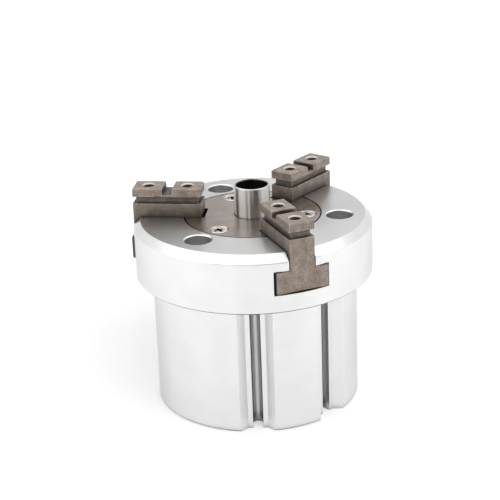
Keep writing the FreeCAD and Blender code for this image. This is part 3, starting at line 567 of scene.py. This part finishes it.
def white_floor():
    """White paper that keeps the shadow and whitens with distance.

    It is clear from below, and doesn't glow under the gripper's middle.
    """
    mesh = bpy.data.meshes.new("floor")
    signs = ((-1, -1), (1, -1), (1, 1), (-1, 1))
    corners = [(x * FLOOR_REACH, y * FLOOR_REACH, FLOOR_LEVEL) for x, y in signs]
    mesh.from_pydata(corners, [], [(0, 1, 2, 3)])
    floor = put("floor", mesh)
    paper = Finish("white_paper")
    paper.metal((FLOOR_WHITE, FLOOR_WHITE, FLOOR_WHITE), 0.9, 0.0)
    paper.shader.inputs["Specular IOR Level"].default_value = 0.0
    away = paper.vector("LENGTH", paper.place, output="Value")
    beside = paper.maths("GREATER_THAN", away, GLOW_INSIDE)
    strength = paper.spread(away, GLOW_NEAR, GLOW_FAR, BODY_RADIUS, GLOW_REACH)
    glow = paper.node("ShaderNodeEmission")
    seen = paper.maths("MULTIPLY", paper.background_rays(), beside)
    paper.feed(glow.inputs["Strength"], paper.maths("MULTIPLY", seen, strength))
    lit = paper.node("ShaderNodeAddShader")
    paper.feed(lit.inputs[0], paper.shader.outputs[0])
    paper.feed(lit.inputs[1], glow.outputs[0])
    under = paper.node("ShaderNodeMixShader")
    paper.feed(under.inputs[0], paper.node("ShaderNodeNewGeometry").outputs["Backfacing"])
    paper.feed(under.inputs[1], lit.outputs[0])
    paper.feed(under.inputs[2], paper.node("ShaderNodeBsdfTransparent").outputs[0])
    paper.feed(paper.surface, under.outputs[0])
    dress(floor, paper.owner)


def card_glow(name, shades, strength):
    """Light in the greys that are given at angles round the gripper, in degrees.

    The angle is measured from the middle of the shades, so that its jump from
    half a turn to minus half a turn lies behind the card.
    """
    first = shades[0][0]
    last = shades[-1][0]
    half = math.radians(last - first) / 2
    finish = Finish(name)
    turned = finish.node("ShaderNodeVectorRotate", rotation_type="Z_AXIS")
    finish.feed(turned.inputs["Vector"], finish.place)
    turned.inputs["Angle"].default_value = -math.radians(first + last) / 2
    split = finish.node("ShaderNodeSeparateXYZ")
    finish.feed(split.inputs[0], turned.outputs[0])
    aside = finish.maths("ARCTAN2", split.outputs[1], split.outputs[0])
    share = finish.spread(aside, 0.0, 1.0, -half, half)
    stops = [((degrees - first) / (last - first), (grey, grey, grey)) for degrees, grey in shades]
    glow = finish.node("ShaderNodeEmission")
    finish.feed(glow.inputs["Color"], finish.ramp(share, stops))
    finish.feed(glow.inputs["Strength"], strength)
    finish.feed(finish.surface, glow.outputs[0])
    return finish.owner


def card(name, reach, low, high, strength, shades):
    """A card that only metal mirrors, for the lighter and darker parts of a room.

    It is a cylinder wall round the gripper, at reach metres from its axis. It
    runs from the first to the last angle of its shades, and from the low to
    the high angle above the table.
    """
    around = np.radians(np.linspace(shades[0][0], shades[-1][0], CARD_COLUMNS))
    heights = reach * np.tan(np.radians([low, high]))
    angle, height = np.meshgrid(around, heights)
    points = np.stack([reach * np.cos(angle), reach * np.sin(angle), height], axis=-1)
    wall = put(name, woven(name, points))
    wall.visible_camera = False
    wall.visible_diffuse = False
    wall.visible_transmission = False
    wall.visible_shadow = False
    dress(wall, card_glow(name, shades, strength))


def softbox(name, place, size, power):
    """A square soft light that looks at the head, and that the metal doesn't mirror."""
    data = bpy.data.lights.new(name, "AREA")
    data.size = size
    data.energy = power
    lamp = bpy.data.objects.new(name, data)
    aim = Vector((0, 0, HEAD_TOP)) - Vector(place)
    lamp.matrix_world = Matrix.Translation(place) @ aim.to_track_quat("-Z", "Y").to_matrix().to_4x4()
    lamp.visible_glossy = False
    bpy.context.scene.collection.objects.link(lamp)


def refined(node, body, width, holes=()):
    """A copy of a CAD node with rounded edges, which stands for it.

    The walls of its tapped holes are left out, because threads take their
    place. A hole is given as a point on its axis, the axis, the radii
    between which its walls lie, and its depth.
    """
    mesh = nodes[node].data.copy()
    shell = bmesh.new()
    shell.from_mesh(mesh)
    bmesh.ops.remove_doubles(shell, verts=shell.verts, dist=WELD)
    flat = math.radians(FLAT_ANGLE)
    bmesh.ops.dissolve_limit(shell, angle_limit=flat, verts=shell.verts, edges=shell.edges)
    shell.normal_update()
    for start, axis, inner, outer, depth in holes:
        walls = []
        for face in shell.faces:
            offset = face.calc_center_median() - start
            down = -offset.dot(axis)
            away = (offset + down * axis).length
            if inner < away < outer and -MM < down < depth and abs(face.normal.dot(axis)) < 0.9:
                walls.append(face)
        bmesh.ops.delete(shell, geom=walls, context="FACES")
    shell.to_mesh(mesh)
    shell.free()
    piece = put(f"{node}_dressed", mesh)
    soften = piece.modifiers.new("edges", "BEVEL")
    soften.width = width * MM
    soften.segments = 2
    soften.limit_method = "ANGLE"
    soften.angle_limit = math.radians(SOFT_ANGLE)
    soften.use_clamp_overlap = False
    mesh.shade_smooth()
    even = piece.modifiers.new("normals", "WEIGHTED_NORMAL")
    even.mode = "FACE_AREA"
    even.weight = 100
    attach(piece, body)
    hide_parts(node)


def thread_wave(height, spin, pitch):
    """1 on a thread's crest and 0 at its root, falling evenly between them.

    It is a triangle wave of the height, in turns of the pitch, less the turn.
    """
    return 2 * np.abs((height / pitch - spin[None, :] / (2 * math.pi)) % 1.0 - 0.5)


def tapped_hole(name, body, slot, start, axis, core, full, pitch, depth, mouth):
    """The threaded wall of a hole, from its mouth at start down its axis.

    The radius is the core plus the thread's wave, or the mouth's 45 degree
    cone where that is wider. The wave fades over the last turn.
    """
    spin = np.linspace(0, 2 * math.pi, THREAD_COLUMNS, endpoint=False)
    down = np.linspace(0, depth, int(ROWS_PER_TURN * depth / pitch))[:, None]
    wave = thread_wave(down, spin, pitch) * np.clip((depth - down) / pitch, 0, 1)
    radius = np.maximum(core + (full - core) * wave, core + mouth - down)
    side = axis.orthogonal().normalized()
    other = axis.cross(side)
    ring = np.cos(spin)[:, None] * np.array(side) + np.sin(spin)[:, None] * np.array(other)
    points = np.array(start) + MM * (radius[..., None] * ring[None] - down[..., None] * np.array(axis))
    thread = put(name, woven(name, points, closed=True))
    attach(thread, body)
    return thread


def screw_face(spin, top):
    """The domed face of a screw with its cross recess, as radii and heights.

    A point sinks where it lies within half a wing's width of either arm of
    the cross, deeper towards the middle.
    """
    radii = np.linspace(0, SCREW_HEAD - SCREW_RIM, FACE_ROWS)
    radius, angle = np.meshgrid(radii, spin + math.radians(CROSS_TURN), indexing="ij")
    across = np.abs(radius * np.cos(angle))
    along = np.abs(radius * np.sin(angle))
    near = np.minimum(across, along)
    far = np.maximum(across, along)
    depth = CROSS_DEPTH * np.clip((CROSS_REACH - far) / CROSS_TAPER, 0, 1)
    inside = np.clip((CROSS_WIDTH / 2 + CROSS_WALL / 2 - near) / CROSS_WALL, 0, 1)
    crown = top - SCREW_DOME * (radius / SCREW_HEAD) ** 2
    return np.stack([radius, crown - depth * inside], axis=-1)


def screw_side(spin, top, bottom):
    """A screw below its face, as radii and heights.

    It has a quarter-round rim, a cone down to the shank, a shank whose radius
    is less by the thread's wave, and a flat tip.
    """
    rim_turn = np.linspace(math.pi / 2, 0, RIM_ROWS)[1:]
    rim_radius = SCREW_HEAD - SCREW_RIM + SCREW_RIM * np.cos(rim_turn)
    rim_height = top - SCREW_DOME - SCREW_RIM + SCREW_RIM * np.sin(rim_turn)
    rim = np.stack([rim_radius, rim_height], axis=-1)
    cone_end = top - SCREW_HEAD + SHANK_RADIUS
    heights = np.linspace(cone_end, bottom + SCREW_POINT, SHANK_ROWS)[:, None]
    wave = thread_wave(heights, spin, SCREW_PITCH)
    shank = np.stack([SHANK_RADIUS - SCREW_THREAD * wave, np.broadcast_to(heights, wave.shape)], axis=-1)
    tip = np.array([(SHANK_RADIUS - SCREW_BEVEL, bottom), (0, bottom)])
    whole_rim = np.repeat(rim[:, None, :], spin.size, axis=1)
    whole_tip = np.repeat(tip[:, None, :], spin.size, axis=1)
    return np.concatenate([whole_rim, shank, whole_tip])


def cross_screws(material):
    """The three countersunk screws of the plate: a profile turned about each axis."""
    low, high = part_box("cover_screws")
    circle = high.x / MM - SCREW_HEAD - SCREW_PLAY
    top = high.z / MM - SCREW_SUNK
    spin = np.linspace(0, 2 * math.pi, SCREW_COLUMNS, endpoint=False)
    profile = np.concatenate([screw_face(spin, top), screw_side(spin, top, low.z / MM)])
    for number, place in enumerate(SCREW_ANGLES, start=1):
        turn = math.radians(place)
        x = circle * math.cos(turn) + profile[..., 0] * np.cos(spin + turn)
        y = circle * math.sin(turn) + profile[..., 0] * np.sin(spin + turn)
        points = MM * np.stack([x, y, profile[..., 1]], axis=-1)
        name = f"cross_screw_{number}"
        screw = put(name, woven(name, points[::-1], closed=True))
        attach(screw, "housing")
        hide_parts("cover_screws")
        dress(screw, material)


def pointing(angle):
    """The level direction at an angle round the gripper, in degrees."""
    turn = math.radians(angle)
    return Vector((math.cos(turn), math.sin(turn), 0))


def jaw(label, angle, cut_steel):
    """A base jaw with rounded edges and its two M5 threads."""
    out = pointing(angle)
    up = Vector((0, 0, 1))
    inner = (JAW_THREAD["core"] - WALL_PLAY) * MM
    outer = (JAW_THREAD["core"] + JAW_THREAD["mouth"] + WALL_PLAY) * MM
    inset = JAW_THREAD_INSET * MM
    holes = []
    for place, radius in (("inner", JAW_INNER + inset), ("outer", JAW_OUTER - inset)):
        start = radius * out + JAW_TOP * up
        holes.append((start, up, inner, outer, JAW_WALL * MM))
        thread = tapped_hole(f"{label}_thread_{place}", label, "jaw_steel", start, up, **JAW_THREAD)
        dress(thread, cut_steel)
    refined(label, label, JAW_EDGE, holes)


def ports(aluminium):
    """The threads of the two air ports, on the side that the photograph hides.

    It gives the holes whose plain walls they replace.
    """
    out = pointing(PORT_ANGLE)
    inner = (PORT_THREAD["core"] - WALL_PLAY) * MM
    outer = (PORT_THREAD["core"] + WALL_PLAY) * MM
    holes = []
    for name, height in PORT_HEIGHTS.items():
        start = (BODY_RADIUS - PORT_FLAT * MM) * out + Vector((0, 0, height * MM))
        holes.append((start, out, inner, outer, PORT_WALL * MM))
        thread = tapped_hole(f"air_port_{name}_thread", "housing", "anodised", start, out, **PORT_THREAD)
        dress(thread, aluminium)
    return holes


photo_camera()
world_light()
white_floor()
card("back_card", **BACK_CARD)
card("front_card", **FRONT_CARD)
card("ceiling_card", **CEILING_CARD)
softbox("overhead", **OVERHEAD)
softbox("fill", **FILL)
softbox("side", **SIDE)

aluminium = anodised_aluminium()
bright_steel = screw_steel()
cut_steel = tapped_steel()
by_slot = {
    "anodised": aluminium,
    "plate_steel": plate_steel(),
    "jaw_steel": jaw_steel("hub_steel", 0),
    "tube_steel": drawn_steel(),
    "screw_steel": bright_steel,
    "seal_rubber": soft_stuff("seal_rubber", (0.03, 0.03, 0.032), 0.55),
    "bush_bronze": bush_bronze(),
    "guide_plastic": soft_stuff("guide_plastic", (0.12, 0.16, 0.13), 0.5),
    "magnet": soft_stuff("magnet", (0.08, 0.08, 0.085), 0.6),
}
for part in frame["record"]["subparts"]:
    dress(nodes[part["node"]], by_slot[part["material_slot"]])
for label, angle in JAW_ANGLES.items():
    dress(nodes[label], jaw_steel(f"{label}_steel", angle))
    jaw(label, angle, cut_steel)
cross_screws(bright_steel)
refined("jaw_housing", "housing", HEAD_EDGE)
refined("cylinder_body", "housing", BODY_EDGE, ports(aluminium))
refined("cover_plate", "housing", PLATE_EDGE)
refined("through_tube", "housing", TUBE_EDGE)

bpy.context.scene.view_settings.view_transform = "Standard"
